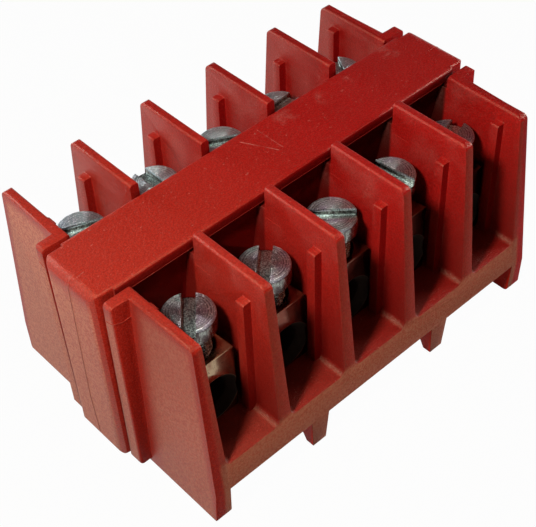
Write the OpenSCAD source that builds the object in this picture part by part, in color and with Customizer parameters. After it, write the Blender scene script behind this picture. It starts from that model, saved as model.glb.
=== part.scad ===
// Five-pole screw terminal strip: one moulded housing, five through bars and ten clamp screws.
// Millimetres. X runs along the strip, Y across it, Z is up, origin under the middle of the base.

/* [Strip] */
// distance between neighbouring poles
pitch = 12; // [11.5:0.1:14]
// height of the barrier walls above the standing plane
body_h = 34.4; // [33:0.1:40]
// width over the two side rails
base_w = 43.2; // [41:0.1:50]
// width over the outer ends of the barrier tops
top_w = 38.6; // [37:0.1:41]
// underside of the floor above the standing plane
rail_z = 5.7; // [3:0.1:7]
// floor of the wire compartments above the standing plane
floor_z = 10.3; // [9:0.1:11.5]

/* [Barriers and end walls] */
// thickness of a barrier at its top
barrier_t = 1.4; // [1:0.1:1.8]
// thickness of a barrier at the compartment floor
barrier_root = 2.1; // [1.8:0.1:2.6]
// thickness of an end wall at its top
wall_t = 1.5; // [1:0.1:1.8]
// how much lower the end walls stand than the barriers
wall_drop = 1.6; // [1:0.1:2.5]
// outward lean of each end face from top to bottom
wall_lean = 0.9; // [0.2:0.1:1.5]
// radius of the outer top corners
corner_r = 1.1; // [0.3:0.1:1.4]
// radius along the top edges
edge_r = 0.45; // [0.1:0.05:0.6]
// fillet between compartment floor and barriers
floor_r = 1.0; // [0.5:0.1:1.2]

/* [Guide ribs in the compartments] */
// width of a rib
guide_w = 1.5; // [1:0.1:2]
// height of a guide rib off its barrier, in front of a bar's end
guide_t = 1.3; // [0.8:0.05:1.4]
// gap between a bar's end and the guide rib
guide_gap = 0.5; // [0.3:0.05:0.8]
// drop of the guide rib's top below the barrier top
guide_drop = 3.9; // [2.5:0.1:6]
// height of a side rib off its barrier, beside a bar
side_rib_t = 0.35; // [0.2:0.05:0.4]
// distance of a side rib's start from the bar's end
side_rib_in = 5.1; // [4:0.1:6]

/* [Middle strip] */
// width of the cap strip
cap_w = 11.2; // [10.6:0.1:11.6]
// thickness of the cap strip
cap_t = 1.5; // [1:0.1:2]
// drop of the cap strip below the barrier tops
cap_drop = 1.4; // [1:0.1:2]
// slot between the cap strip and the barrier ends
cap_slot = 0.6; // [0.4:0.05:0.8]
// width of the web under the cap strip at the bars
web_w = 7; // [5:0.1:8]

/* [End pads and grooves] */
// width of the end pad
pad_w = 10.4; // [9.6:0.1:10.8]
// distance of the pad face from the end wall's top edge
pad_out = 3.6; // [3:0.1:5]
// radius along the top edge of the pad
pad_r = 1.5; // [0.8:0.1:2]
// radius of the upright edges of the pad
pad_side_r = 1.6; // [0.8:0.1:2]
// width of the rib beside the groove, at its top
end_rib_w = 1.6; // [1.2:0.1:2.4]
// extra width of that rib at its bottom, on the groove's side
end_rib_taper = 0.6; // [0:0.1:0.7]
// distance of the rib face from the end wall's top edge
end_rib_out = 2.8; // [2:0.1:3.4]
// height of the pad and rib bottoms above the standing plane
end_rise = 1.2; // [0.6:0.1:2]

/* [Feet] */
// length of a foot along the strip where it leaves the rail
foot_l = 3.3; // [2.4:0.1:4.5]
// depth of a foot across the strip where it leaves the rail
foot_d = 4; // [2.5:0.1:5]
// depth of a foot across the strip on the standing plane
foot_tip = 1.4; // [1:0.1:2]
// inward slope of the feet from the rail to the standing plane
foot_lean = 0.3; // [0:0.05:0.8]

/* [Terminal bars] */
// width of a bar along the strip
bar_w = 7.2; // [6.8:0.1:7.6]
// length of a bar across the strip
bar_l = 29.6; // [28.6:0.1:30.4]
// height of a bar
bar_h = 11.7; // [11:0.1:12.4]
// diameter of the wire bore
bore_d = 5.2; // [4.5:0.1:5.2]
// depth of the wire bore from the bar's end
bore_l = 11.5; // [9:0.1:12]
// height of the bore axis above the bar's underside
bore_up = 4.1; // [3.9:0.1:4.3]
// width of the funnel at the bore mouth, measured on the radius
funnel = 1.2; // [0.3:0.1:1.25]
// play of a bar in its window in the web, on each side
bar_play = 0.8; // [0.7:0.05:0.9]

/* [Clamp screws] */
// diameter of the screw shank
screw_d = 5; // [4:0.1:5.4]
// length of the shank under the head
screw_l = 7.7; // [6.5:0.1:7.7]
// diameter of the head
head_d = 7; // [6.2:0.1:7.2]
// height of the head
head_h = 2.6; // [2:0.1:3]
// width of the driver slot
slot_w = 1.8; // [1:0.1:2]
// depth of the driver slot
slot_h = 1.1; // [0.8:0.1:1.4]
// distance of a screw axis from the bar's end
screw_in = 3.7; // [3.6:0.1:4.3]
// gap between head and bar with the clamp open
screw_open = 2.8; // [2.8:0.1:3.2]

/* [Hidden] */
// smoothness of true curves
$fn = 48;
// number of poles
poles = 5;
// running clearance of a screw in its tapped hole, on the radius
thread_gap = 0.05;
// clearance over and under a bar
bar_gap = 0.05;
// depth to which joined volumes of one piece reach into each other
join = 0.4;
// overshoot of a cut past the face that it opens
past = 0.02;
// slot directions of the screws on the two sides, degrees from the strip's length
turn_a = [50, 43, 137, 97, 20];
turn_b = [158, 90, 150, 5, 60];
// extra lift of each screw on the two sides, as the strip is found
lift_a = [0.9, 0.3, 0.8, 0.9, 0.5];
lift_b = [0, 0.3, 0.2, 0.3, 0.2];
// place of each bar within its side play
bar_shift = [-0.1, 0.5, 0.6, -0.1, 0];
// depth of the slot below the cap strip
slot_extra = 0.7;
// step of the end walls outside the line of the last poles
wall_step = 0.1;
// inward draft of the end walls' inner faces
wall_draft = 0.3;
// overhang of the cap strip over the web
web_inset = 0.6;
// bevel on the rib tops
guide_bevel = 0.2;
// draft of a foot on each side along the strip
foot_draft = 0.4;
// radius of the bottom corners of end walls, pads and ribs
bottom_r = 0.8;
// radius along the top of the end ribs and on their upright edges
end_rib_r = 0.6;
end_rib_edge = 0.4;
// radius of a bar's long edges
bar_edge = 0.3;
// depth of a drilled point for each millimetre of its radius
point_ratio = 0.6;
// countersink of a tapped hole
tap_sink = 0.4;
// bevel of a screw's tip and of its head, draft of the head
tip_bevel = 0.6;
head_bevel = 0.35;
head_draft = 0.1;
// names of the separate pieces
// piece to draw, or all of them

// inward lean of the long sides for each millimetre of height
lean = (base_w - top_w) / 2 / (body_h - rail_z);
// tops of the end walls and the cap strip, underside of the cap strip
wall_z = body_h - wall_drop;
cap_z = body_h - cap_drop;
cap_under = cap_z - cap_t;
// bottom of the slot beside the cap strip and inner ends of the barriers there
slot_z = cap_under - slot_extra;
slot_y = cap_w / 2 + cap_slot;
// outer face of an end wall at its top and at the standing plane
wall_x = poles / 2 * pitch + wall_step;
wall_foot_x = wall_x + wall_lean;
// inner face of an end wall at its top and at the floor
wall_in = wall_x - wall_t;
wall_root = wall_in - wall_draft;
// faces of the end pad and the end ribs, and how deep both start in the wall
pad_x = wall_x + pad_out;
end_rib_x = wall_x + end_rib_out;
end_start = wall_in + join;
// half width over the feet on the standing plane
foot_y = base_w / 2 - foot_lean;
// distance of the screw axes from the middle of the strip
screw_y = bar_l / 2 - screw_in;
// top and bottom of the bars, height of the bore axis
bar_z = floor_z + bar_gap;
bar_top = bar_z + bar_h;
bore_z = bar_z + bore_up;
// diameter of the tapped holes
tap_d = screw_d + 2 * thread_gap;

// half width of the housing at a height
function side_y(z) = base_w / 2 - (z - rail_z) * lean;
// half thickness of a barrier at a height
function half_t(z) = (barrier_t + (barrier_root - barrier_t) * (body_h - z) / (body_h - floor_z)) / 2;
// inner face of an end wall at a height
function wall_face(z) = wall_in - wall_draft * (wall_z - z) / (wall_z - floor_z);
// places of the poles, of the bars and of the barriers between them
function pole_x(i) = (i - (poles - 1) / 2) * pitch;
function bar_x(i) = pole_x(i) + bar_shift[i];
function barrier_x(i) = (i - poles / 2) * pitch;

// direction of a vector, and half the angle of the corner b between a and c
function unit(v) = v / norm(v);
function half_angle(a, b, c) = acos(unit(a - b) * unit(c - b)) / 2;
// middle of the arc that rounds the corner b
function arc_mid(a, b, c, r) = b + unit(unit(a - b) + unit(c - b)) * r / sin(half_angle(a, b, c));

// convex outline with its own radius at every corner, zero for a sharp one
module rounded(pts, radii) {
    n = len(pts);
    polygon([for (i = [0 : n - 1])
        let (a = pts[(i + n - 1) % n], b = pts[i], c = pts[(i + 1) % n])
        let (t = radii[i] / tan(half_angle(a, b, c)))
        for (q = radii[i] > 0 ? [a, c] : [a])
            b + t * unit(q - b)]);
    for (i = [0 : n - 1])
        if (radii[i] > 0)
            translate(arc_mid(pts[(i + n - 1) % n], pts[i], pts[(i + 1) % n], radii[i]))
                circle(r = radii[i]);
}

// upright oblong outline from one corner to the other, radii from the lower left round to the upper left
module rounded_box(low, high, radii) {
    rounded([low, [high[0], low[1]], high, [low[0], high[1]]], radii);
}

// outline in Y and Z, drawn out along X
module along_x(x0, x1) {
    translate([x0, 0, 0])
        rotate([90, 0, 90])
            linear_extrude(x1 - x0)
                children();
}

// outline in X and Z, drawn out along Y
module along_y(y0, y1) {
    translate([0, y1, 0])
        rotate([90, 0, 0])
            linear_extrude(y1 - y0)
                children();
}

// outline in X and Y, drawn out along Z
module along_z(z0, z1) {
    translate([0, 0, z0])
        linear_extrude(z1 - z0)
            children();
}

// the same thing at both ends of the strip
module both_ends() {
    children();
    mirror([1, 0, 0])
        children();
}

// the same thing on both long sides
module both_sides() {
    children();
    mirror([0, 1, 0])
        children();
}

// side outline of barriers and rails
module side_outline() {
    rounded([[-side_y(rail_z), rail_z], [side_y(rail_z), rail_z],
        [side_y(body_h), body_h], [-side_y(body_h), body_h]],
        [0, 0, corner_r, corner_r]);
}

// side outline of an end wall, down to the standing plane
module wall_outline() {
    rounded([[-foot_y, 0], [foot_y, 0], [side_y(rail_z), rail_z], [side_y(wall_z), wall_z],
        [-side_y(wall_z), wall_z], [-side_y(rail_z), rail_z]],
        [bottom_r, bottom_r, 0, corner_r, corner_r, 0]);
}

// concave fillet between the floor and an upright face on its left
module floor_fillet(x) {
    translate([x, floor_z])
        difference() {
            translate([-join, -join])
                square(floor_r + join);
            translate([floor_r, floor_r])
                circle(r = floor_r);
        }
}

// barrier section with the floor fillets on both faces
module barrier_section(i) {
    translate([barrier_x(i), 0]) {
        rounded([[-half_t(rail_z), rail_z], [half_t(rail_z), rail_z],
            [half_t(body_h), body_h], [-half_t(body_h), body_h]],
            [0, 0, edge_r, edge_r]);
        floor_fillet(half_t(floor_z));
        mirror([1, 0])
            floor_fillet(half_t(floor_z));
    }
}

// end wall section at the positive end
module wall_section() {
    rounded([[wall_root, 0], [wall_foot_x, 0], [wall_x, wall_z], [wall_in, wall_z], [wall_root, floor_z]],
        [0, edge_r, edge_r, edge_r, 0]);
    mirror([1, 0])
        floor_fillet(-wall_root);
}

// rib of height t on a face that stands at root by the floor and at face by the rib's top
module guide_rib(y0, top, face, root, t) {
    along_y(y0, y0 + guide_w)
        polygon([[root - join, floor_z - join], [root + t, floor_z - join],
            [face + t, top - guide_bevel], [face + t - guide_bevel, top], [face - join, top]]);
}

// guide ribs in the compartments on one long side
module guide_ribs() {
    near_y = bar_l / 2 + guide_gap;
    near_z = body_h - guide_drop;
    far_y = bar_l / 2 - side_rib_in;
    far_z = wall_z - edge_r;
    // barriers between the compartments
    for (i = [1 : poles - 1])
        translate([barrier_x(i), 0, 0]) {
            guide_rib(far_y, far_z, half_t(far_z), half_t(floor_z), side_rib_t);
            mirror([1, 0, 0])
                guide_rib(near_y, near_z, half_t(near_z), half_t(floor_z), guide_t);
        }
    // end walls
    guide_rib(far_y, far_z, -wall_face(far_z), -wall_root, side_rib_t);
    mirror([1, 0, 0])
        guide_rib(near_y, near_z, -wall_face(near_z), -wall_root, guide_t);
}

// floor between the end walls
module floor_slab() {
    translate([-wall_root - join, -base_w / 2, rail_z])
        cube([2 * (wall_root + join), base_w, floor_z - rail_z]);
}

// foot under a rail, tapering downwards on all but its outer face
module foot(x) {
    inner_y = side_y(rail_z) - foot_d;
    half_l = foot_l / 2;
    intersection() {
        along_x(x - foot_l, x + foot_l)
            polygon([[foot_y - foot_tip, 0], [foot_y, 0], [side_y(rail_z), rail_z],
                [side_y(rail_z + join), rail_z + join], [inner_y, rail_z + join], [inner_y, rail_z]]);
        along_y(0, base_w)
            polygon([[x - half_l + foot_draft, 0], [x + half_l - foot_draft, 0], [x + half_l, rail_z],
                [x + half_l, rail_z + join], [x - half_l, rail_z + join], [x - half_l, rail_z]]);
    }
}

// web under the cap strip, wider towards its top
module web() {
    web_top = cap_w / 2 - web_inset;
    along_x(-wall_in - join / 2, wall_in + join / 2)
        polygon([[-web_w / 2, floor_z - join], [web_w / 2, floor_z - join], [web_w / 2, bar_top],
            [web_top, slot_z], [web_top, cap_under + join], [-web_top, cap_under + join],
            [-web_top, slot_z], [-web_w / 2, bar_top]]);
}

// cap strip over the whole length
module cap() {
    along_x(-wall_x - join, wall_x + join)
        rounded_box([-cap_w / 2, cap_under], [cap_w / 2, cap_z], [0, 0, edge_r, edge_r]);
}

// raised pad on the positive end, level with the cap strip
module end_pad() {
    half_w = pad_w / 2;
    intersection() {
        along_y(-half_w, half_w)
            rounded_box([end_start, end_rise], [pad_x, cap_z], [0, bottom_r, pad_r, 0]);
        along_z(0, body_h)
            rounded_box([end_start, -half_w], [pad_x, half_w], [0, pad_side_r, pad_side_r, 0]);
        along_x(end_start, pad_x)
            rounded_box([-half_w, end_rise], [half_w, cap_z], [bottom_r, bottom_r, edge_r, edge_r]);
    }
}

// rib beside the end groove, wider towards its bottom on the groove's side
module end_rib() {
    outer_y = slot_y + end_rib_w;
    inner_y = slot_y - end_rib_taper;
    intersection() {
        along_y(inner_y, outer_y)
            rounded_box([end_start, end_rise], [end_rib_x, wall_z], [0, bottom_r, end_rib_r, 0]);
        along_z(0, body_h)
            rounded_box([end_start, inner_y], [end_rib_x, outer_y], [0, 0, end_rib_edge, 0]);
        along_x(end_start, end_rib_x)
            polygon([[inner_y, 0], [outer_y, 0], [outer_y, wall_z], [slot_y, wall_z]]);
    }
}

// window in the web for one bar
module bar_window(i) {
    half_w = bar_w / 2 + bar_play;
    translate([pole_x(i) - half_w, -cap_w / 2, floor_z])
        cube([2 * half_w, cap_w, bar_h + 2 * bar_gap]);
}

// barriers, rails and guide ribs, cut to the side outline
module barriers() {
    intersection() {
        along_x(-wall_x, wall_x)
            side_outline();
        union() {
            floor_slab();
            along_y(-base_w / 2, base_w / 2)
                for (i = [1 : poles - 1])
                    barrier_section(i);
            both_sides()
                guide_ribs();
        }
    }
}

// end wall at the positive end
module end_wall() {
    intersection() {
        along_x(0, pad_x)
            wall_outline();
        along_y(-base_w / 2, base_w / 2)
            wall_section();
    }
}

// moulded body of the strip
module housing() {
    color([0.62, 0.1, 0.08]) {
        difference() {
            union() {
                barriers();
                both_ends()
                    end_wall();
            }
            translate([-pad_x, -slot_y, slot_z])
                cube([2 * pad_x, 2 * slot_y, body_h]);
        }
        difference() {
            web();
            for (i = [0 : poles - 1])
                bar_window(i);
        }
        cap();
        both_ends() {
            end_pad();
            both_sides()
                end_rib();
        }
        both_sides()
            for (x = [-pitch, pitch])
                foot(x);
    }
}

// wire bore with a funnel mouth and a drilled point, its mouth in the bar's end
module wire_bore() {
    bore_r = bore_d / 2;
    translate([0, bar_l / 2, bore_z])
        rotate([90, 0, 0])
            rotate_extrude()
                polygon([[0, -past], [bore_r + funnel + past, -past], [bore_r, funnel], [bore_r, bore_l],
                    [0, bore_l + bore_r * point_ratio]]);
}

// tapped hole down to the bore
module tapped_hole() {
    translate([0, screw_y, bar_top]) {
        translate([0, 0, bore_z - bar_top])
            cylinder(d = tap_d, h = bar_top - bore_z + past);
        translate([0, 0, -tap_sink])
            cylinder(r1 = tap_d / 2, r2 = tap_d / 2 + tap_sink + past, h = tap_sink + past);
    }
}

// terminal bar
module bar(i) {
    half_w = bar_w / 2;
    color([0.75, 0.6, 0.38])
        translate([bar_x(i), 0, 0])
            difference() {
                along_y(-bar_l / 2, bar_l / 2)
                    rounded_box([-half_w, bar_z], [half_w, bar_top], bar_edge * [1, 1, 1, 1]);
                both_sides() {
                    wire_bore();
                    tapped_hole();
                }
            }
}

// clamp screw in a bar, side 1 or -1, slot turned by an angle, lifted further out of the bar
module screw(i, side, turn, lift) {
    shank_r = screw_d / 2;
    head_r = head_d / 2;
    color([0.6, 0.61, 0.6])
        translate([bar_x(i), side * screw_y, bar_top + screw_open + lift])
            rotate([0, 0, turn - 90])
                difference() {
                    rotate_extrude()
                        polygon([[0, -screw_l], [shank_r - tip_bevel, -screw_l],
                            [shank_r, tip_bevel - screw_l], [shank_r, 0],
                            [head_r, 0], [head_r - head_draft, head_h - head_bevel],
                            [head_r - head_draft - head_bevel, head_h], [0, head_h]]);
                    translate([-slot_w / 2, -head_d, head_h - slot_h])
                        cube([slot_w, 2 * head_d, 2 * slot_h]);
                }
}

housing();
bar(0);  // bar_1
bar(1);  // bar_2
bar(2);  // bar_3
bar(3);  // bar_4
bar(4);  // bar_5
screw(0, -1, turn_a[0], lift_a[0]);  // screw_a1
screw(1, -1, turn_a[1], lift_a[1]);  // screw_a2
screw(2, -1, turn_a[2], lift_a[2]);  // screw_a3
screw(3, -1, turn_a[3], lift_a[3]);  // screw_a4
screw(4, -1, turn_a[4], lift_a[4]);  // screw_a5
screw(0, 1, turn_b[0], lift_b[0]);  // screw_b1
screw(1, 1, turn_b[1], lift_b[1]);  // screw_b2
screw(2, 1, turn_b[2], lift_b[2]);  // screw_b3
screw(3, 1, turn_b[3], lift_b[3]);  // screw_b4
screw(4, 1, turn_b[4], lift_b[4]);  // screw_b5
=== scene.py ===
"""Looks of a moulded screw terminal strip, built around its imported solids."""
import math
from functools import reduce

import bmesh
import bpy
from mathutils import Matrix, Vector
from mathutils.bvhtree import BVHTree


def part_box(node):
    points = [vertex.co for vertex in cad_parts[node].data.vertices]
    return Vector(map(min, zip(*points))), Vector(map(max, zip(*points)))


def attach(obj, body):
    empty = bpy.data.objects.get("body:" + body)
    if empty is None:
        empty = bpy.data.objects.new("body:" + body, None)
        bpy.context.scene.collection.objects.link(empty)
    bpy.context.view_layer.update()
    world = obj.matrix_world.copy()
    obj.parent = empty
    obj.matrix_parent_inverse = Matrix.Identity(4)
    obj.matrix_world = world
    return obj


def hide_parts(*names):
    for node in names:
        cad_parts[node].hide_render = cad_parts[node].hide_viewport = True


bl_info = {
    "name": "Terminal strip looks",
    "version": (1, 0, 0),
    "blender": (4, 5, 0),
    "location": "View3D > Sidebar > Strip",
    "description": "Moulded housing, brass bars and turned screws of a terminal strip",
    "category": "Object",
}

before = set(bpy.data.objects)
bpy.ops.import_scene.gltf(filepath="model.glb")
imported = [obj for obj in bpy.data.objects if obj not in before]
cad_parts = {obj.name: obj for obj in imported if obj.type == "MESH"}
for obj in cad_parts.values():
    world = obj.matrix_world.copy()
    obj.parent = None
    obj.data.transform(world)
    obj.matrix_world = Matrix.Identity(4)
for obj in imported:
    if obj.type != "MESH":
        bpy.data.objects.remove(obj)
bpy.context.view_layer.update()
MM = 0.001
POLES = (1, 2, 3, 4, 5)
SIDES = ("a", "b")
# places on the housing that its marks and seams use, in millimetres
PITCH = 12.0
CAP_TOP = 33.0
CAP_SIDE = 5.6
PAD_FACE = 33.7
PAD_ROUND = 1.5
BARRIER_FACE = 0.77
FOOT_TOP = 5.6
# half width of the slanted side outline at z = 0, and how much it narrows for each unit of height
SIDE_HALF, SIDE_LEAN = 22.06, 0.0801
# scratches as start, end and width, and rubbed patches as middle and radius
SCRATCHES = (((-1.7, 4.0, CAP_TOP), (0.85, -0.9, CAP_TOP), 0.11),
             ((1.6, 4.3, CAP_TOP), (1.65, -0.9, CAP_TOP), 0.08),
             ((-33.6, -0.9, CAP_TOP), (-31.4, -0.6, CAP_TOP), 0.1),
             ((-33.7, 5.4, 30.2), (-33.7, 3.6, 29.3), 0.45))
RUBS = (((6.2, 3.6, CAP_TOP), 2.2), ((13.0, 2.8, CAP_TOP), 2.0),
        ((17.5, 3.2, CAP_TOP), 1.6), ((27.0, 4.0, CAP_TOP), 2.4))
# seam down a pad's face as (y, z), flash round an end rib as (x, y, z)
PAD_SEAM = ((0.15, 2.2), (0.6, 9.7), (0.3, 18.5), (-0.1, 28.0))
RIB_FLASH = ((30.2, 7.8, 29.75), (31.4, 7.8, 29.6), (32.5, 7.8, 30.05),
             (32.8, 7.7, 30.1), (32.9, 7.4, 30.05), (32.9, 6.3, 29.7))
CAP_FLASH_END, CAP_FLASH_Z = 28.4, 31.55
WITNESS_IN, WITNESS_OUT, WITNESS_Z = 6.3, 9.2, 29.4
# meshes of the housing and the bars: merging gaps, edges to round, faces that count as folded or crossed
HOUSING_GAP, BAR_GAP = 0.05 * MM, 0.005 * MM
ROUND_ANGLE = math.radians(35)
FLAT_ANGLE = math.radians(0.3)
STRAY_SHARE = 0.375
FOLDED = -0.9
FOLD_AREA, CROSSED_AREA = 1.0 * MM * MM, 3.0 * MM * MM
WELD = 0.0005 * MM
# plastic of the housing: name, dust with painted sheen and dirt, wear and gloss of its faces, rounded edges
# and long sides
PLASTICS = (("moulded_plastic", 0.85, 0.0, 0.5), ("moulded_plastic_edges", 0.1, 0.015, 0.5),
            ("moulded_plastic_sides", 0.8, 0.0, 0.03))
EDGE_SLOT, SIDE_SLOT = 1, 2
# painted shade: near-black red of the web's far end; painted light: bright red of the foot ends that face
# the near end
WEB_SHADE, FOOT_LIT_RED = (0.015, 0.0, 0.0), (0.8, 0.03, 0.012)
# screw: sides of the head, steps of a thread turn, bevel of fine edges, cut tolerance, shank in the head
HEAD_SIDES, THREAD_STEPS = 96, 40
HEAD_ANGLE, SCREW_SMOOTH = math.radians(40), math.radians(30)
FINE_BEVEL, CUT, SHANK_IN = 0.07 * MM, 0.001 * MM, 0.5 * MM
# lamps as name, place, size, power and colour, in metres and watts
LAMPS = (("key", (-0.094, -0.038, 0.155), 0.022, 0.258, (1, 0.96, 0.9)),
         ("fill_side", (0.322, -0.15, 0.076), 0.11, 0.45, (1, 1, 1)),
         ("fill_end", (0.347, -0.074, 0.06), 0.1, 0.5, (1, 1, 1)),
         ("fill_back", (-0.092, 0.343, 0.07), 0.11, 0.55, (1, 1, 1)))
LAMP_AIM = (0, 0, 0.02)
WHITE = (1, 1, 1, 1)
FLOOR_GLOW = 0.975
# camera fitted to the photograph: focal length and frame in pixels, place in millimetres
FOCAL_PX, FRAME_PX, SENSOR = 1203.5, 536, 36.0
CAMERA_AT = (-80.515, -93.316, 137.302)
CAMERA_RIGHT = (0.73404, -0.67782, -0.04183)
CAMERA_AHEAD = (0.45203, 0.53363, -0.71478)
# slot direction of every screw, degrees from the strip's length
SLOT_TURNS = {"a": (50, 43, 137, 97, 20), "b": (158, 90, 150, 5, 60)}


class StripSizes(bpy.types.PropertyGroup):
    """Fine sizes that only the looks use."""

    edge: bpy.props.FloatProperty(
        name="Edge rounding", description="Rounding of the housing's sharp edges",
        default=0.16 * MM, min=0, unit="LENGTH", precision=5)
    bar_edge: bpy.props.FloatProperty(
        name="Bar edge", description="Broken edge of the bars",
        default=0.1 * MM, min=0, unit="LENGTH", precision=5)
    bore_up: bpy.props.FloatProperty(
        name="Bore height", description="Height of a wire bore's axis above the bar's underside",
        default=4.1 * MM, min=0, unit="LENGTH", precision=5)
    head_height: bpy.props.FloatProperty(
        name="Head height", description="Height of a screw head",
        default=2.6 * MM, min=0, unit="LENGTH", precision=5)
    head_bevel: bpy.props.FloatProperty(
        name="Head bevel", description="Bevel round the top of a screw head",
        default=0.35 * MM, min=0, unit="LENGTH", precision=5)
    slot_width: bpy.props.FloatProperty(
        name="Slot width", description="Width of the driver slot",
        default=1.8 * MM, min=0, unit="LENGTH", precision=5)
    slot_depth: bpy.props.FloatProperty(
        name="Slot depth", description="Depth of the driver slot",
        default=1.1 * MM, min=0, unit="LENGTH", precision=5)
    thread_radius: bpy.props.FloatProperty(
        name="Thread radius", description="Outer radius of the thread",
        default=2.5 * MM, min=0, unit="LENGTH", precision=5)
    thread_depth: bpy.props.FloatProperty(
        name="Thread depth", description="Depth of the thread from crest to root",
        default=0.45 * MM, min=0, unit="LENGTH", precision=5)
    thread_pitch: bpy.props.FloatProperty(
        name="Thread pitch", description="Rise of the thread in one turn",
        default=0.8 * MM, min=0, unit="LENGTH", precision=5)
    seam: bpy.props.FloatProperty(
        name="Seam", description="Radius of the raised mould seams",
        default=0.06 * MM, min=0, unit="LENGTH", precision=5)


class StripColours(bpy.types.PropertyGroup):
    """Colours of the materials and the stage."""

    red: bpy.props.FloatVectorProperty(
        name="Housing red", description="Main colour of the moulding",
        default=(0.48, 0.004, 0.004), min=0, max=1, subtype="COLOR")
    # painted light: this paler red towards the near end stands in for how light and sheen fall along the
    # strip
    near_lit_red: bpy.props.FloatVectorProperty(
        name="Faded red", description="Paler red of the near end",
        default=(0.45, 0.021, 0.010), min=0, max=1, subtype="COLOR")
    dirt: bpy.props.FloatVectorProperty(
        name="Dirt", description="Brown dirt on the long sides",
        default=(0.48, 0.215, 0.115), min=0, max=1, subtype="COLOR")
    # deep red: mottle in the moulding, and painted shade in the bays and on the end walls
    deep_red: bpy.props.FloatVectorProperty(
        name="Deep red", description="Grimy red down in the bays",
        default=(0.13, 0.002, 0.002), min=0, max=1, subtype="COLOR")
    sheen: bpy.props.FloatVectorProperty(
        name="Sheen", description="Tint of the plastic's reflections",
        default=(1.0, 0.84, 0.52), min=0, max=1, subtype="COLOR")
    dark_red: bpy.props.FloatVectorProperty(
        name="Dark red", description="Darker flow of the moulding",
        default=(0.43, 0.003, 0.003), min=0, max=1, subtype="COLOR")
    # dust, and painted sheen on the end faces
    dust_and_sheen: bpy.props.FloatVectorProperty(
        name="Dust", description="Dusty bloom on the outer faces",
        default=(0.68, 0.28, 0.18), min=0, max=1, subtype="COLOR")
    # scratches and rubbed wear, and also the pale of painted glints and highlights
    scuff_and_glint: bpy.props.FloatVectorProperty(
        name="Scuff", description="Scratched and rubbed plastic",
        default=(0.66, 0.30, 0.24), min=0, max=1, subtype="COLOR")
    brass: bpy.props.FloatVectorProperty(
        name="Bar brass", description="Dull brass of the bars",
        default=(0.36, 0.25, 0.15), min=0, max=1, subtype="COLOR")
    zinc: bpy.props.FloatVectorProperty(
        name="Screw zinc", description="Zinc plating of the screws",
        default=(0.58, 0.58, 0.60), min=0, max=1, subtype="COLOR")
    floor: bpy.props.FloatVectorProperty(
        name="Floor", description="Pale floor of the stage",
        default=(0.24, 0.19, 0.15), min=0, max=1, subtype="COLOR")


def select_only(*pieces):
    """Leaves only these objects selected, the first one active."""
    bpy.ops.object.select_all(action="DESELECT")
    for piece in pieces:
        piece.select_set(True)
    bpy.context.view_layer.objects.active = pieces[0]


def merged_copy(node, name, gap):
    """Own copy of a CAD node's mesh, its loose triangles merged into plain faces."""
    piece = bpy.data.objects.new(name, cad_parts[node].data.copy())
    bpy.context.scene.collection.objects.link(piece)
    select_only(piece)
    bpy.ops.mesh.customdata_custom_splitnormals_clear()
    bpy.ops.object.mode_set(mode="EDIT")
    bpy.ops.mesh.select_all(action="SELECT")
    bpy.ops.mesh.remove_doubles(threshold=gap)
    bpy.ops.mesh.dissolve_degenerate(threshold=0.2 * gap)
    bpy.ops.mesh.dissolve_limited(angle_limit=FLAT_ANGLE)
    bpy.ops.object.mode_set(mode="OBJECT")
    piece.data.materials.clear()
    return piece


def apply_modifier(piece, kind, **settings):
    """Adds a modifier, sets its options and applies it."""
    modifier = piece.modifiers.new(kind.lower(), kind)
    for key, value in settings.items():
        setattr(modifier, key, value)
    select_only(piece)
    bpy.ops.object.modifier_apply(modifier=modifier.name)


def cad_surface(node):
    """Search tree of a CAD node's surface."""
    solid = bmesh.new()
    solid.from_mesh(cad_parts[node].data)
    surface = BVHTree.FromBMesh(solid)
    solid.free()
    return surface


def draw_in(piece, surface, limit):
    """Brings points that rounding threw off the CAD surface back onto it."""
    for vertex in piece.data.vertices:
        nearest, _, _, apart = surface.find_nearest(vertex.co)
        if apart > limit:
            vertex.co = nearest


def weld_folds(piece, surface, largest):
    """Puts the thrown corner of each small triangle that rounding folded over back on its neighbour."""
    mesh = piece.data
    mesh.update()
    welded = set()
    for face in mesh.polygons:
        if len(face.vertices) > 3 or face.area > largest:
            continue
        if face.normal.dot(surface.find_nearest(face.center)[1]) < FOLDED:
            corners = sorted(face.vertices, key=lambda i: surface.find_nearest(mesh.vertices[i].co)[3])
            stray = mesh.vertices[corners.pop()]
            home = min((mesh.vertices[i] for i in corners), key=lambda v: (v.co - stray.co).length)
            stray.co = home.co
            welded.update((stray.index, home.index))
    select_only(piece)
    bpy.ops.object.mode_set(mode="EDIT")
    bpy.ops.mesh.select_all(action="DESELECT")
    bpy.ops.object.mode_set(mode="OBJECT")
    for index in welded:
        mesh.vertices[index].select = True
    bpy.ops.object.mode_set(mode="EDIT")
    bpy.ops.mesh.remove_doubles(threshold=WELD)
    bpy.ops.object.mode_set(mode="OBJECT")


def fan_area(corners):
    """Area of the triangles that fan out from the first corner."""
    first = corners[0].co
    return sum((a.co - first).cross(b.co - first).length / 2 for a, b in zip(corners[1:], corners[2:]))


def split_crossed(piece, smallest):
    """Splits faces whose outline crosses itself into the fan of triangles with the least area."""
    mesh = piece.data
    mesh.calc_loop_triangles()
    fill = [0.0] * len(mesh.polygons)
    for triangle in mesh.loop_triangles:
        fill[triangle.polygon_index] += triangle.area
    whole = bmesh.new()
    whole.from_mesh(mesh)
    for face in list(whole.faces):
        filled = fill[face.index]
        if filled < max(2 * face.calc_area(), smallest):
            continue
        corners = list(face.verts)
        fan = min((corners[k:] + corners[:k] for k in range(len(corners))), key=fan_area)
        if fan_area(fan) > filled:
            continue
        for corner in fan[2:-1]:
            made, _ = bmesh.utils.face_split(face, fan[0], corner)
            face = made if fan[-1] in made.verts else face
    whole.to_mesh(mesh)
    whole.free()


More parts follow.
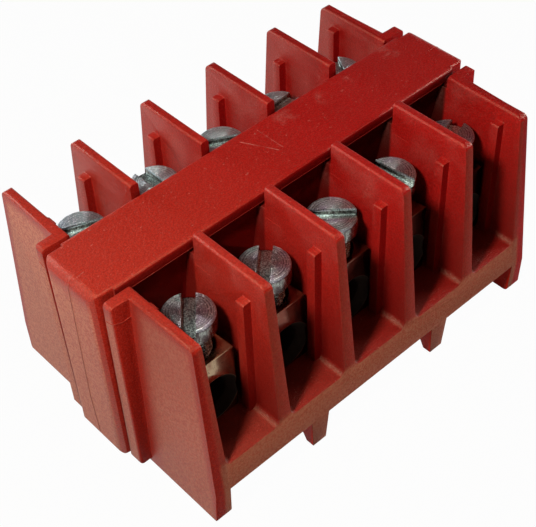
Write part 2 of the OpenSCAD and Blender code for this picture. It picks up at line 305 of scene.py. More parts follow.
def put(tree, kind, sockets=(), **settings):
    """Adds a shader node and fills its inputs from pairs of a socket and a value or an output."""
    node = tree.nodes.new(kind)
    for key, value in settings.items():
        setattr(node, key, value)
    for key, value in sockets:
        if isinstance(value, bpy.types.NodeSocket):
            tree.links.new(value, node.inputs[key])
        else:
            node.inputs[key].default_value = value
    return node


def maths(tree, operation, *values, clamp=False):
    """Output of a Math node."""
    node = put(tree, "ShaderNodeMath", enumerate(values), operation=operation, use_clamp=clamp)
    return node.outputs[0]


def mixed(tree, factor, first, second):
    """Output of a colour Mix node."""
    node = put(tree, "ShaderNodeMix", ((0, factor), (6, first), (7, second)), data_type="RGBA")
    return node.outputs[2]


def ramp(tree, value, low, high, out_low=0.0, out_high=1.0):
    """Output of a smooth Map Range node."""
    limits = enumerate((value, low, high, out_low, out_high))
    return put(tree, "ShaderNodeMapRange", limits, interpolation_type="SMOOTHSTEP").outputs[0]


def noise(tree, place, scale, detail=2.0, rough=0.5):
    """Value of a Noise node at a place in millimetres."""
    node = put(tree, "ShaderNodeTexNoise",
               (("Vector", place), ("Scale", scale), ("Detail", detail), ("Roughness", rough)))
    return node.outputs["Fac"]


def opaque(colour):
    """RGBA from an RGB colour."""
    return (*colour, 1.0)


def new_material(name):
    """New material with its node tree, its shader and the place on the part in millimetres."""
    material = bpy.data.materials.new(name)
    material.use_nodes = True
    tree = material.node_tree
    tree.nodes.clear()
    shader = put(tree, "ShaderNodeBsdfPrincipled")
    output = put(tree, "ShaderNodeOutputMaterial")
    tree.links.new(shader.outputs[0], output.inputs["Surface"])
    coords = put(tree, "ShaderNodeTexCoord")
    place = put(tree, "ShaderNodeVectorMath", ((0, coords.outputs["Object"]), ("Scale", 1 / MM)),
                operation="SCALE").outputs[0]
    return material, tree, shader, place


def bumped(tree, shader, strength, distance, height):
    """Gives a shader a Bump node over a height."""
    bump = put(tree, "ShaderNodeBump", (("Strength", strength), ("Distance", distance), ("Height", height)))
    tree.links.new(bump.outputs[0], shader.inputs["Normal"])


def vector_maths(tree, operation, first, second):
    """Vector Math node of two vectors."""
    return put(tree, "ShaderNodeVectorMath", ((0, first), (1, second)), operation=operation).outputs


def stroke(tree, place, start, end, width):
    """Mask of a thin scratch between two points in millimetres."""
    start, end = Vector(start), Vector(end)
    span = end - start
    offset = vector_maths(tree, "SUBTRACT", place, start)[0]
    along = vector_maths(tree, "DOT_PRODUCT", offset, span / span.length_squared)["Value"]
    along = maths(tree, "ADD", along, 0.0, clamp=True)
    foot = put(tree, "ShaderNodeVectorMath", ((0, span), ("Scale", along)), operation="SCALE").outputs[0]
    apart = vector_maths(tree, "DISTANCE", offset, foot)["Value"]
    return ramp(tree, apart, width, 0.3 * width)


def spot(tree, place, middle, radius):
    """Mask of a rubbed patch round a point in millimetres."""
    apart = vector_maths(tree, "DISTANCE", place, Vector(middle))["Value"]
    return ramp(tree, apart, radius, 0.2 * radius)


def from_line(tree, own, across):
    """Distance from a piece's own axis, by its attribute and the two directions across the axis."""
    flat = vector_maths(tree, "MULTIPLY", own, across)[0]
    return put(tree, "ShaderNodeVectorMath", ((0, flat),), operation="LENGTH").outputs["Value"]


class PlasticMasks:
    """Places in millimetres, facings and noises that the masks of the plastic share."""

    def __init__(self, tree, place):
        self.tree, self.place = tree, place
        self.x, self.y, self.z = put(tree, "ShaderNodeSeparateXYZ", ((0, place),)).outputs
        normal = put(tree, "ShaderNodeTexCoord").outputs["Normal"]
        self.facing_x, facing_y, self.up = put(tree, "ShaderNodeSeparateXYZ", ((0, normal),)).outputs
        self.along = maths(tree, "ABSOLUTE", self.x)
        self.across = maths(tree, "ABSOLUTE", self.y)
        self.endwise = maths(tree, "ABSOLUTE", self.facing_x)
        self.sideways = maths(tree, "ABSOLUTE", facing_y)
        self.cloud = noise(tree, place, 0.11, 3.0)
        self.grain = noise(tree, place, 2.8, 3.0, 0.7)
        self.fine = noise(tree, place, 6.5, 2.0, 0.6)
        self.in_bays = self.rise(self.along, 29.4, 28.9)

    def rise(self, value, *limits):
        """Smooth step of a value between two limits."""
        return ramp(self.tree, value, *limits)

    def times(self, *factors):
        """Product of all factors."""
        return reduce(lambda a, b: maths(self.tree, "MULTIPLY", a, b), factors)

    def plus(self, *terms):
        """Sum of all terms."""
        return reduce(lambda a, b: maths(self.tree, "ADD", a, b), terms)

    def most(self, *masks):
        """Largest of all masks."""
        return reduce(lambda a, b: maths(self.tree, "MAXIMUM", a, b), masks)


def painted_shade_masks(on):
    """Masks of the bays' inside, of the web, and of the painted shade that deepens the red there."""
    inside = on.times(on.in_bays, on.rise(on.sideways, 0.97, 0.85))
    # painted shade: deeper red lower down in the bays
    depth = on.times(on.rise(on.plus(on.z, on.times(on.cloud, 4.0)), 34.5, 13.0, 0.0, 0.75),
                     on.rise(on.up, 0.8, 0.95, 1.0, 0.75))
    # painted shade on faces in the bays that turn to the sides
    rib_side = on.times(on.rise(on.sideways, 0.85, 0.97, 0.0, 0.6), on.in_bays,
                        on.rise(on.across, 17.8, 17.4, 0.55, 1.0))
    # the web under the cap strip, darkened by painted shade
    web = on.times(on.in_bays, on.rise(on.across, 6.4, 5.7), on.rise(on.z, 31.5, 31.0, 0.0, 0.9))
    # painted shade on the cap strip's sides
    cap_side = on.times(on.rise(on.across, 5.3, 5.5), on.rise(on.across, 6.4, 5.7, 0.0, 0.72),
                        on.rise(on.z, CAP_TOP, 32.75))
    # painted shade on side B's faces, deeper towards the far end
    behind = on.times(on.rise(on.y, 7.0, 9.0), on.rise(on.x, -14.0, 18.0, 0.08, 0.32), inside)
    return inside, web, on.most(on.times(inside, depth), web, cap_side, rib_side, behind)


def dust_and_sheen_mask(on, dust_sheen_and_dirt):
    """Mask of the dust and painted sheen on the ends, clear of the rims and the rib's foot."""
    proud = on.rise(on.along, 31.6, 32.2)
    ragged = on.plus(on.z, on.times(on.grain, 1.2))
    on_pad = on.times(proud, on.rise(ragged, CAP_TOP, 29.6))
    outline = maths(on.tree, "SUBTRACT", SIDE_HALF, on.times(on.z, SIDE_LEAN))
    inset = maths(on.tree, "SUBTRACT", outline, on.across)
    on_wall = on.times(maths(on.tree, "SUBTRACT", 1.0, proud), on.rise(on.z, 32.4, 30.6),
                       on.rise(on.across, 8.2, 11.5), on.rise(inset, 0.4, 1.5))
    return on.times(on.plus(on_pad, on_wall), on.rise(on.along, 29.0, 29.9), on.rise(on.endwise, 0.85, 0.97),
                    # more of it towards side B and the near end, where the painted sheen is stronger
                    on.rise(on.y, -12.0, 6.0, 0.6, 1.0), on.rise(on.x, 10.0, -10.0, 0.4, 1.0),
                    on.rise(on.grain, 0.38, 0.62, 0.35 * dust_sheen_and_dirt, dust_sheen_and_dirt))


def dirt_mask(on, dust_sheen_and_dirt):
    """Mask of the brown dirt on the long sides, thickest low on side A."""
    return on.times(on.rise(on.across, 17.0, 18.5), on.rise(on.sideways, 0.85, 0.97),
                    on.rise(on.z, 11.5, 10.3, 0.2, 0.85), on.rise(on.along, 29.7, 29.0),
                    on.rise(on.y, 6.0, -6.0, 0.5, 1.0),
                    on.rise(on.grain, 0.38, 0.62, 0.5 * dust_sheen_and_dirt, 0.9 * dust_sheen_and_dirt))


def wear_and_glint_mask(on, inside):
    """Mask of scratches, rubbed patches, rims of edge wear and painted highlight, painted glints and dull
    patches.
    """
    smear = noise(on.tree, on.place, 0.55, 3.0, 0.65)
    scratches = on.most(*(stroke(on.tree, on.place, *mark) for mark in SCRATCHES))
    scratches = on.times(scratches, on.rise(smear, 0.35, 0.65, 0.06, 0.42))
    patches = on.most(*(spot(on.tree, on.place, *rub) for rub in RUBS))
    patches = on.times(patches, on.rise(smear, 0.4, 0.65), on.rise(on.grain, 0.35, 0.7, 0.08, 0.3))
    # rims where the edges turn over: edge wear with painted highlight dots at the tops, and a painted
    # highlight on the fillet beside the floor
    top_rim_wear_and_glint = on.times(on.rise(on.z, 29.0, 30.5), on.plus(on.rise(on.grain, 0.3, 0.7, 0.0, 0.08),
                                                          on.rise(on.grain, 0.62, 0.7, 0.0, 0.26)))
    fillet_highlight = on.times(on.rise(on.z, 15.0, 13.0), on.rise(on.across, 14.0, 19.0),
                         on.rise(on.grain, 0.52, 0.66, 0.0, 0.2))
    rim_wear_and_highlight = on.times(on.rise(on.times(on.endwise, on.up), 0.3, 0.48), on.plus(top_rim_wear_and_glint, fillet_highlight))
    # painted glints: pale specks on the upward faces
    specks = noise(on.tree, on.place, 2.2, 1.0)
    specks = on.times(on.rise(specks, 0.71, 0.78, 0.0, 0.24), on.rise(on.up, 0.7, 0.9))
    # dull patches high on the barriers
    blotch = noise(on.tree, on.place, 0.2, 1.0)
    dull = on.times(on.rise(blotch, 0.4, 0.7), on.rise(on.z, 25.0, 31.0, 0.0, 0.1),
                    on.rise(on.grain, 0.35, 0.65, 0.3, 1.4), inside, on.rise(on.endwise, 0.85, 0.97))
    return on.most(scratches, patches, specks, dull, rim_wear_and_highlight)


def moulded_plastic(colours, name, dust_sheen_and_dirt, wear, gloss):
    """Grained moulded plastic with painted light: paler at the near end, painted shade in the bays, dust
    with painted sheen, painted light on the feet, dirt, and worn marks with painted glints and highlights.
    """
    material, tree, shader, place = new_material(name)
    on = PlasticMasks(tree, place)
    inside, web, painted_shade = painted_shade_masks(on)
    dust_and_sheen = dust_and_sheen_mask(on, dust_sheen_and_dirt)
    mottle = noise(tree, place, 4.0, 2.0, 0.6)
    # painted light: bright red on the feet's faces that turn to the near end
    foot = on.times(on.rise(on.z, 6.0, 5.4), on.rise(on.facing_x, -0.85, -0.97),
                    on.rise(on.along, 29.0, 28.0))
    # painted shade: darker upper part of the end walls beside side A's bays
    end_shade = on.times(on.rise(on.along, 29.0, 29.9), on.rise(on.z, 12.0, 30.0, 0.0, 0.3),
                         on.rise(on.across, 8.0, 9.0), on.rise(on.y, 0.0, -10.0))
    # painted light: paler red towards the near end
    layers = [(on.rise(on.x, 12.0, -34.0), colours.near_lit_red),
              (on.rise(on.fine, 0.5, 0.75, 0.0, 0.12), colours.scuff_and_glint),
              (on.rise(mottle, 0.38, 0.62, 0.42, 0.0), colours.deep_red),
              # painted shade in the bays, under the cap strip and on faces that turn to the sides
              (painted_shade, colours.deep_red),
              # painted shade: the web turns near black towards the far end
              (on.times(web, on.rise(on.x, -12.0, 22.0, 0.0, 0.85)), WEB_SHADE),
              (foot, FOOT_LIT_RED),
              # dust and painted sheen on the end faces
              (dust_and_sheen, colours.dust_and_sheen),
              (dirt_mask(on, dust_sheen_and_dirt), colours.dirt),
              # painted shade on the end walls
              (end_shade, colours.deep_red),
              # wear, painted glints and painted highlights
              (wear_and_glint_mask(on, inside), colours.scuff_and_glint)]
    if wear > 0:
        layers.append((on.rise(on.grain, 0.3, 0.7, 0.2 * wear, wear), colours.scuff_and_glint))
    colour = mixed(tree, on.rise(on.cloud, 0.35, 0.7), opaque(colours.red), opaque(colours.dark_red))
    for mask, tint in layers:
        colour = mixed(tree, mask, colour, opaque(tint))
    tree.links.new(colour, shader.inputs["Base Color"])
    rough = on.plus(on.rise(on.fine, 0.3, 0.7, 0.4 - wear, 0.52 - wear), on.times(dust_and_sheen, 0.2))
    tree.links.new(rough, shader.inputs["Roughness"])
    shader.inputs["Specular IOR Level"].default_value = gloss
    shader.inputs["Specular Tint"].default_value = opaque(colours.sheen)
    bumped(tree, shader, 0.9, 0.07 * MM, on.plus(on.fine, on.grain, on.times(on.cloud, 3.0)))
    return material


def seam_dirt():
    """Dark dirt that settles along a mould seam."""
    material, tree, shader, place = new_material("seam_dirt")
    grain = noise(tree, place, 2.5, 2.0)
    dark, pale = (0.26, 0.06, 0.04, 1), (0.38, 0.13, 0.09, 1)
    tree.links.new(mixed(tree, ramp(tree, grain, 0.35, 0.65), dark, pale), shader.inputs["Base Color"])
    tree.links.new(ramp(tree, grain, 0.3, 0.7, 0.55, 0.75), shader.inputs["Roughness"])
    bumped(tree, shader, 0.4, 0.03 * MM, grain)
    return material


def dull_brass(colours):
    """Drawn brass bar, tarnished in specks, with painted shade towards the far end and inside its bores."""
    material, tree, shader, place = new_material("dull_brass")
    tarnish_shade_brown, far_shade_brown = (0.16, 0.04, 0.024, 1), (0.06, 0.02, 0.012, 1)
    speck_brown, bore_shade_black = (0.08, 0.045, 0.03, 1), (0.03, 0.02, 0.015, 1)
    stretched = put(tree, "ShaderNodeMapping", (("Vector", place), ("Scale", (3.0, 0.25, 3.0)))).outputs[0]
    drawn = noise(tree, stretched, 1.2, 3.0)
    blotch = noise(tree, place, 0.6, 3.0, 0.6)
    specks = noise(tree, place, 3.5, 2.0)
    along = put(tree, "ShaderNodeSeparateXYZ", ((0, place),)).outputs[0]
    # tarnish in blotches, and painted shade from the second bar on
    tarnish_and_shade = maths(tree, "ADD", ramp(tree, blotch, 0.4, 0.7, 0.0, 0.6),
                    ramp(tree, along, -22.0, -14.0, 0.0, 0.85), clamp=True)
    colour = mixed(tree, tarnish_and_shade, opaque(colours.brass), tarnish_shade_brown)
    # painted shade: darker still towards the far end
    colour = mixed(tree, ramp(tree, along, -8.0, 2.0, 0.0, 0.6), colour, far_shade_brown)
    colour = mixed(tree, ramp(tree, specks, 0.6, 0.7, 0.0, 0.8), colour, speck_brown)
    # painted shade inside the bores
    own = put(tree, "ShaderNodeAttribute", attribute_name="from_bore").outputs["Vector"]
    in_bore = ramp(tree, from_line(tree, own, (1, 0, 1)), 3.95, 3.75)
    colour = mixed(tree, in_bore, colour, bore_shade_black)
    tree.links.new(colour, shader.inputs["Base Color"])
    shader.inputs["Metallic"].default_value = 0.95
    rough = maths(tree, "ADD", ramp(tree, blotch, 0.3, 0.7, 0.12, 0.24),
                  maths(tree, "MULTIPLY", in_bore, 0.6))
    tree.links.new(rough, shader.inputs["Roughness"])
    bumped(tree, shader, 0.25, 0.02 * MM, drawn)
    return material


def turned_zinc(colours):
    """Zinc plated steel with turning rings on the head's top, painted glints, painted shade on the head's
    sides, and painted reflection in its pale, speckled slot and on the back row.
    """
    material, tree, shader, place = new_material("turned_zinc")
    violet, green = (0.52, 0.46, 0.58, 1), (0.44, 0.58, 0.57, 1)
    near_reflection_blue, far_reflection_blue = (0.34, 0.46, 0.50, 1), (0.62, 0.82, 0.84, 1)
    ring_grey, glint_white = (0.13, 0.12, 0.15, 1), (0.92, 0.92, 0.95, 1)
    side_shade_dark, side_shade_pale = (0.07, 0.05, 0.05, 1), (0.30, 0.32, 0.29, 1)
    slot_dark, slot_glint_pale = (0.32, 0.38, 0.38, 1), (0.74, 0.86, 0.82, 1)
    own = put(tree, "ShaderNodeAttribute", attribute_name="from_axis").outputs["Vector"]
    height = put(tree, "ShaderNodeSeparateXYZ", ((0, own),)).outputs[2]
    radius = from_line(tree, own, (1, 1, 0))
    on_top = ramp(tree, height, 2.15, 2.35)
    in_slot = maths(tree, "MULTIPLY", ramp(tree, height, 1.42, 1.48), ramp(tree, height, 1.75, 1.6))
    in_slot = maths(tree, "MULTIPLY", in_slot, ramp(tree, radius, 3.42, 3.3))
    rings = put(tree, "ShaderNodeTexNoise",
                (("W", radius), ("Scale", 5.5), ("Detail", 4.0), ("Roughness", 0.7)),
                noise_dimensions="1D").outputs["Fac"]
    tint = noise(tree, place, 0.45)
    grit = noise(tree, place, 5.0)
    colour = mixed(tree, ramp(tree, tint, 0.35, 0.5), violet, opaque(colours.zinc))
    colour = mixed(tree, ramp(tree, tint, 0.52, 0.68), colour, green)
    axis = put(tree, "ShaderNodeSeparateXYZ", ((0, place),)).outputs
    # painted reflection: the back row's heads are bluish, paler towards the far end, with fainter rings
    back_row = ramp(tree, axis[1], -2.0, 2.0)
    back_row_reflection = mixed(tree, ramp(tree, axis[0], -20.0, -16.0), near_reflection_blue, far_reflection_blue)
    colour = mixed(tree, maths(tree, "MULTIPLY", back_row, 0.7), colour, back_row_reflection)
    dark_rings = maths(tree, "MULTIPLY", ramp(tree, rings, 0.42, 0.6, 0.0, 0.85),
                       maths(tree, "SUBTRACT", 1.0, maths(tree, "MULTIPLY", back_row, 0.4)))
    colour = mixed(tree, dark_rings, colour, ring_grey)
    # painted glints: white specks on the head
    colour = mixed(tree, ramp(tree, grit, 0.56, 0.64, 0.0, 0.8), colour, glint_white)
    # painted shade: the head's sides darker than its top, in drawn streaks
    drawn_out = put(tree, "ShaderNodeMapping", (("Vector", own), ("Scale", (2.2, 2.2, 0.5)))).outputs[0]
    streaks = noise(tree, drawn_out, 1.0, 3.0, 0.65)
    side = mixed(tree, ramp(tree, streaks, 0.4, 0.6), side_shade_dark, side_shade_pale)
    colour = mixed(tree, on_top, side, colour)
    # painted reflection: pale, speckled slot floor
    slot_reflection = mixed(tree, ramp(tree, grit, 0.42, 0.6), slot_dark, slot_glint_pale)
    colour = mixed(tree, in_slot, colour, slot_reflection)
    tree.links.new(colour, shader.inputs["Base Color"])
    shader.inputs["Metallic"].default_value = 1.0
    rough = maths(tree, "ADD", ramp(tree, grit, 0.3, 0.7, 0.14, 0.3),
                  maths(tree, "MULTIPLY", maths(tree, "MAXIMUM", on_top, in_slot), 0.17))
    tree.links.new(rough, shader.inputs["Roughness"])
    turned = maths(tree, "ADD", maths(tree, "MULTIPLY", rings, on_top), maths(tree, "MULTIPLY", grit, 0.4))
    bumped(tree, shader, 0.9, 0.12 * MM, turned)
    return material


class STRIP_OT_housing(bpy.types.Operator):
    """Rounds the housing's edges and gives it its moulded plastic"""

    bl_idname = "terminal_strip.housing"
    bl_label = "Housing"

    def execute(self, context):
        looks = context.scene
        edge = looks.strip_sizes.edge
        piece = merged_copy("housing", "housing_moulding", HOUSING_GAP)
        for name, dust_sheen_and_dirt, wear, gloss in PLASTICS:
            piece.data.materials.append(moulded_plastic(looks.strip_colours, name, dust_sheen_and_dirt, wear, gloss))
        apply_modifier(piece, "BEVEL", width=edge, offset_type="WIDTH", segments=2, limit_method="ANGLE",
                       angle_limit=ROUND_ANGLE, use_clamp_overlap=False, material=EDGE_SLOT)
        surface = cad_surface("housing")
        draw_in(piece, surface, STRAY_SHARE * edge)
        weld_folds(piece, surface, FOLD_AREA)
        split_crossed(piece, CROSSED_AREA)
        for face in piece.data.polygons:
            on_foot = face.center.z < FOOT_TOP * MM and face.normal.z < 0.5
            if abs(face.normal.y) > 0.8 or on_foot:
                face.material_index = SIDE_SLOT
        select_only(piece)
        bpy.ops.object.shade_smooth_by_angle(angle=ROUND_ANGLE)
        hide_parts("housing")
        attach(piece, "strip")
        return {"FINISHED"}


def bead(name, points, radius, material):
    """Thin raised line of plastic along points in millimetres."""
    bpy.ops.curve.primitive_nurbs_path_add()
    line = bpy.context.object
    line.name = name
    curve = line.data
    curve.splines.clear()
    spline = curve.splines.new("POLY")
    spline.points.add(len(points) - 1)
    for point, place in zip(spline.points, points):
        point.co = (*(Vector(place) * MM), 1)
    curve.dimensions = "3D"
    curve.bevel_depth = radius
    curve.bevel_resolution = 1
    curve.use_fill_caps = True
    select_only(line)
    bpy.ops.object.convert(target="MESH")
    line = bpy.context.object
    bpy.ops.object.shade_smooth()
    line.data.materials.clear()
    line.data.materials.append(material)
    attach(line, "strip")


class STRIP_OT_seams(bpy.types.Operator):
    """Adds the fine seams and flash lines that the mould leaves"""

    bl_idname = "terminal_strip.seams"
    bl_label = "Mould seams"

    def execute(self, context):
        radius = context.scene.strip_sizes.seam
        pale = bpy.data.materials["moulded_plastic_edges"]
        dark = seam_dirt()
        centre_x, centre_z = PAD_FACE - PAD_ROUND, CAP_TOP - PAD_ROUND
        for name, end in (("low", -1), ("high", 1)):
            arc = [(end * (centre_x + PAD_ROUND * math.sin(a)), -0.2, centre_z + PAD_ROUND * math.cos(a))
                   for a in (math.radians(d) for d in range(90, -1, -15))]
            path = [(end * PAD_FACE, y, z) for y, z in PAD_SEAM]
            bead("seam_pad_" + name, path + arc[:3], radius, dark)
            bead("seam_pad_top_" + name, arc[2:] + [(end * 31.2, -0.3, CAP_TOP)], radius, pale)
            for side, row in zip((-1, 1), SIDES):
                loop = [(end * x, side * y, z) for x, y, z in RIB_FLASH]
                bead("flash_rib_%s_%s" % (name, row), loop, radius, pale)
        for side, row in zip((-1, 1), SIDES):
            line = [(x, side * CAP_SIDE, CAP_FLASH_Z) for x in (-CAP_FLASH_END, CAP_FLASH_END)]
            bead("flash_cap_" + row, line, radius, pale)
            for barrier in range(1, len(POLES)):
                face = (barrier - len(POLES) / 2) * PITCH - BARRIER_FACE
                line = [(face, side * y, WITNESS_Z) for y in (WITNESS_IN, WITNESS_OUT)]
                bead("witness_%s%d" % (row, barrier), line, 0.7 * radius, pale)
        return {"FINISHED"}


class STRIP_OT_bars(bpy.types.Operator):
    """Breaks the bars' edges and gives them dull brass"""

    bl_idname = "terminal_strip.bars"
    bl_label = "Bars"

    def execute(self, context):
        looks = context.scene
        brass = dull_brass(looks.strip_colours)
        for pole in POLES:
            node = "bar_%d" % pole
            piece = merged_copy(node, "brass_" + node, BAR_GAP)
            piece.data.materials.append(brass)
            low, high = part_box(node)
            bore = Vector(((low.x + high.x) / 2, 0, low.z + looks.strip_sizes.bore_up))
            apply_modifier(piece, "BEVEL", width=looks.strip_sizes.bar_edge, segments=2,
                           limit_method="ANGLE", angle_limit=ROUND_ANGLE, use_clamp_overlap=False)
            own = piece.data.attributes.new("from_bore", "FLOAT_VECTOR", "POINT")
            for vertex, value in zip(piece.data.vertices, own.data):
                value.vector = (vertex.co - bore) / MM
            select_only(piece)
            bpy.ops.object.shade_smooth_by_angle(angle=ROUND_ANGLE)
            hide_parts(node)
            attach(piece, "strip")
        return {"FINISHED"}


def threaded_shank(sizes, length):
    """Closed threaded rod that hangs from the origin, trimmed at both ends."""
    radius, depth, pitch = sizes.thread_radius, sizes.thread_depth, sizes.thread_pitch
    bpy.ops.mesh.primitive_plane_add(size=pitch, location=(radius - depth, 0, -length - 1.5 * pitch))
    shank = bpy.context.object
    select_only(shank)
    bpy.ops.object.transform_apply(location=True)
    bpy.ops.object.mode_set(mode="EDIT")
    bpy.ops.mesh.select_all(action="SELECT")
    bpy.ops.mesh.merge(type="CENTER")
    # profile of one turn as steps outwards and up: flank, rounded crest, flank, root
    for out, rise in ((0.72, 0.3), (0.28, 0.1), (0, 0.1), (-0.28, 0.1), (-0.72, 0.3), (0, 0.1)):
        step = (out * depth, 0, rise * pitch)
        bpy.ops.mesh.extrude_vertices_move(TRANSFORM_OT_translate={"value": step})
    bpy.ops.object.mode_set(mode="OBJECT")
    apply_modifier(shank, "SCREW", angle=math.tau, screw_offset=pitch, iterations=int(length / pitch) + 4,
                   steps=THREAD_STEPS, render_steps=THREAD_STEPS, use_merge_vertices=True,
                   merge_threshold=CUT, use_smooth_shade=True)
    bpy.ops.object.mode_set(mode="EDIT")
    for height, outward in ((-length, -1), (SHANK_IN, 1)):
        bpy.ops.mesh.select_all(action="SELECT")
        bpy.ops.mesh.bisect(plane_co=(0, 0, height), plane_no=(0, 0, outward), use_fill=True,
                            clear_outer=True, threshold=CUT)
    bpy.ops.mesh.select_all(action="SELECT")
    bpy.ops.mesh.remove_doubles(threshold=CUT)
    bpy.ops.mesh.normals_make_consistent(inside=False)
    bpy.ops.object.mode_set(mode="OBJECT")
    return shank


def slotted_head(sizes, radius):
    """Turned screw head with a driver slot, its underside on the origin."""
    height = sizes.head_height
    bpy.ops.mesh.primitive_cylinder_add(vertices=HEAD_SIDES, radius=radius, depth=height,
                                        location=(0, 0, height / 2))
    head = bpy.context.object
    select_only(head)
    bpy.ops.object.transform_apply(location=True)
    bpy.ops.mesh.primitive_cube_add(size=1, location=(0, 0, height))
    cutter = bpy.context.object
    cutter.scale = (4 * radius, sizes.slot_width, 2 * sizes.slot_depth)
    select_only(cutter)
    bpy.ops.object.transform_apply(location=True, scale=True)
    select_only(head)
    bpy.ops.object.mode_set(mode="EDIT")
    mesh = bmesh.from_edit_mesh(head.data)
    for face in mesh.faces:
        face.select_set(face.normal.z > 0.9)
    bmesh.update_edit_mesh(head.data)
    bpy.ops.mesh.bevel(offset=sizes.head_bevel, segments=4, affect="EDGES")
    bpy.ops.object.mode_set(mode="OBJECT")
    apply_modifier(head, "BOOLEAN", operation="DIFFERENCE", solver="EXACT", object=cutter)
    bpy.data.objects.remove(cutter)
    apply_modifier(head, "BEVEL", width=FINE_BEVEL, segments=2, limit_method="ANGLE",
                   angle_limit=HEAD_ANGLE, use_clamp_overlap=False)
    return head


class STRIP_OT_screws(bpy.types.Operator):
    """Turns one slotted screw with its thread and puts a copy in each bar hole"""

    bl_idname = "terminal_strip.screws"
    bl_label = "Screws"

    def execute(self, context):
        sizes = context.scene.strip_sizes
        low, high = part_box("screw_a1")
        head = slotted_head(sizes, (high.y - low.y) / 2)
        shank = threaded_shank(sizes, high.z - low.z - sizes.head_height)
        apply_modifier(head, "BOOLEAN", operation="UNION", solver="EXACT", object=shank)
        bpy.data.objects.remove(shank)
        own = head.data.attributes.new("from_axis", "FLOAT_VECTOR", "POINT")
        for vertex, value in zip(head.data.vertices, own.data):
            value.vector = vertex.co / MM
        head.data.materials.clear()
        head.data.materials.append(turned_zinc(context.scene.strip_colours))
        for side in SIDES:
            for pole in POLES:
                node = "screw_%s%d" % (side, pole)
                low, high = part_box(node)
                piece = bpy.data.objects.new("turned_" + node, head.data.copy())
                context.scene.collection.objects.link(piece)
                seat = Vector(((low.x + high.x) / 2, (low.y + high.y) / 2, high.z - sizes.head_height))
                turn = math.radians(SLOT_TURNS[side][pole - 1])
                piece.data.transform(Matrix.Translation(seat) @ Matrix.Rotation(turn, 4, "Z"))
                select_only(piece)
                bpy.ops.object.shade_smooth_by_angle(angle=SCREW_SMOOTH)
                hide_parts(node)
                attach(piece, node)
        bpy.data.objects.remove(head)
        return {"FINISHED"}


def pale_floor(colour):
    """Matt floor that the camera and the mirroring faces see as almost white."""
    material, tree, shader, _ = new_material("pale_floor")
    shader.inputs["Base Color"].default_value = opaque(colour)
    shader.inputs["Roughness"].default_value = 0.9
    shader.inputs["Specular IOR Level"].default_value = 0.0
    rays = put(tree, "ShaderNodeLightPath").outputs
    seen = maths(tree, "MAXIMUM", rays["Is Camera Ray"],
                 maths(tree, "MAXIMUM", rays["Is Glossy Ray"], rays["Is Transmission Ray"]))
    glow = put(tree, "ShaderNodeEmission", (("Color", WHITE), ("Strength", 1.0)))
    share = maths(tree, "MULTIPLY", seen, FLOOR_GLOW)
    blend = put(tree, "ShaderNodeMixShader", ((0, share), (1, shader.outputs[0]), (2, glow.outputs[0])))
    output = next(n for n in tree.nodes if n.type == "OUTPUT_MATERIAL")
    tree.links.new(blend.outputs[0], output.inputs["Surface"])
    return material


def hang_lamp(scene, name, place, size, power, colour):
    """Adds a round lamp that points at the strip and stays out of the picture."""
    lamp = bpy.data.lights.new(name, "AREA")
    lamp.shape = "DISK"
    lamp.size = size
    lamp.energy = power
    lamp.color = colour
    holder = bpy.data.objects.new(name, lamp)
    scene.collection.objects.link(holder)
    holder.location = place
    holder.visible_camera = False
    holder.rotation_euler = (Vector(place) - Vector(LAMP_AIM)).to_track_quat("Z", "Y").to_euler()


def studio_world():
    """World that the camera sees as white, mirrors white near the horizon and lights the part dimly."""
    world = bpy.data.worlds.new("studio")
    world.use_nodes = True
    tree = world.node_tree
    tree.nodes.clear()
    coords = put(tree, "ShaderNodeTexCoord")
    height = put(tree, "ShaderNodeSeparateXYZ", ((0, coords.outputs["Generated"]),)).outputs[2]
    rays = put(tree, "ShaderNodeLightPath").outputs
    mirrored = maths(tree, "MAXIMUM", rays["Is Glossy Ray"], rays["Is Transmission Ray"])
    backdrop = maths(tree, "MULTIPLY", mirrored, ramp(tree, height, 0.0, 0.12))
    backdrop = maths(tree, "SUBTRACT", maths(tree, "MAXIMUM", mirrored, rays["Is Camera Ray"]), backdrop)
    strength = maths(tree, "MAXIMUM", backdrop, ramp(tree, height, 0.02, 0.4, 0.15, 0.015))
    sky = put(tree, "ShaderNodeBackground", (("Color", WHITE), ("Strength", strength)))
    output = put(tree, "ShaderNodeOutputWorld")
    tree.links.new(sky.outputs[0], output.inputs["Surface"])
    return world


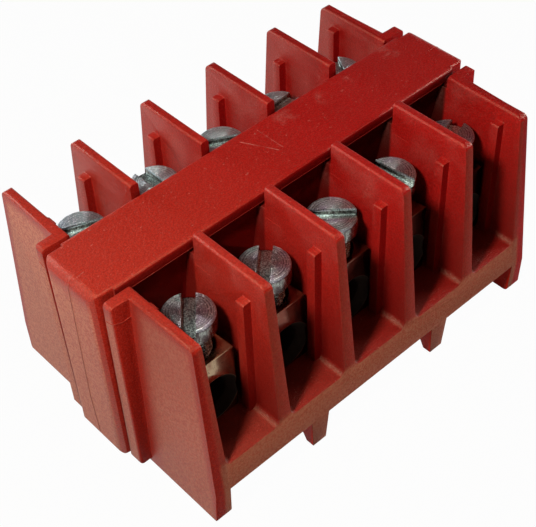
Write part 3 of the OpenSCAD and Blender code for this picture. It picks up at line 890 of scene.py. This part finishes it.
def fitted_camera(scene):
    """Adds the camera that was fitted to the photograph."""
    lens = bpy.data.cameras.new("view")
    lens.sensor_fit = "HORIZONTAL"
    lens.sensor_width = SENSOR
    lens.lens = FOCAL_PX * SENSOR / FRAME_PX
    lens.clip_start = 0.01
    camera = bpy.data.objects.new("view", lens)
    scene.collection.objects.link(camera)
    right = Vector(CAMERA_RIGHT).normalized()
    ahead = Vector(CAMERA_AHEAD)
    ahead = (ahead - right * ahead.dot(right)).normalized()
    up = right.cross(ahead)
    turn = Matrix((right, up, -ahead)).transposed().to_4x4()
    camera.matrix_world = Matrix.Translation(Vector(CAMERA_AT) * MM) @ turn
    return camera


class STRIP_OT_stage(bpy.types.Operator):
    """Adds the pale floor, the lamps and the camera"""

    bl_idname = "terminal_strip.stage"
    bl_label = "Stage"

    def execute(self, context):
        scene = context.scene
        bpy.ops.mesh.primitive_plane_add(size=4)
        floor = context.object
        floor.name = "floor"
        floor.data.materials.append(pale_floor(scene.strip_colours.floor))
        for lamp in LAMPS:
            hang_lamp(scene, *lamp)
        scene.world = studio_world()
        scene.camera = fitted_camera(scene)
        scene.view_settings.view_transform = "Standard"
        return {"FINISHED"}


class STRIP_PT_looks(bpy.types.Panel):
    """Sizes, colours and steps of the terminal strip"""

    bl_label = "Terminal strip"
    bl_idname = "STRIP_PT_looks"
    bl_space_type = "VIEW_3D"
    bl_region_type = "UI"
    bl_category = "Strip"

    def draw(self, context):
        for group in (context.scene.strip_sizes, context.scene.strip_colours):
            for key in group.__annotations__:
                self.layout.prop(group, key)
        for step in STEPS:
            self.layout.operator(step.bl_idname)


STEPS = (STRIP_OT_housing, STRIP_OT_seams, STRIP_OT_bars, STRIP_OT_screws, STRIP_OT_stage)
CLASSES = (StripSizes, StripColours, *STEPS, STRIP_PT_looks)


def register():
    """Registers the classes and their settings."""
    for item in CLASSES:
        bpy.utils.register_class(item)
    bpy.types.Scene.strip_sizes = bpy.props.PointerProperty(type=StripSizes)
    bpy.types.Scene.strip_colours = bpy.props.PointerProperty(type=StripColours)


def unregister():
    """Removes the settings and the classes."""
    del bpy.types.Scene.strip_colours
    del bpy.types.Scene.strip_sizes
    for item in reversed(CLASSES):
        bpy.utils.unregister_class(item)


def main():
    """Builds the looks in order."""
    register()
    bpy.ops.terminal_strip.housing()
    bpy.ops.terminal_strip.seams()
    bpy.ops.terminal_strip.bars()
    bpy.ops.terminal_strip.screws()
    bpy.ops.terminal_strip.stage()


if __name__ == "__main__":
    main()
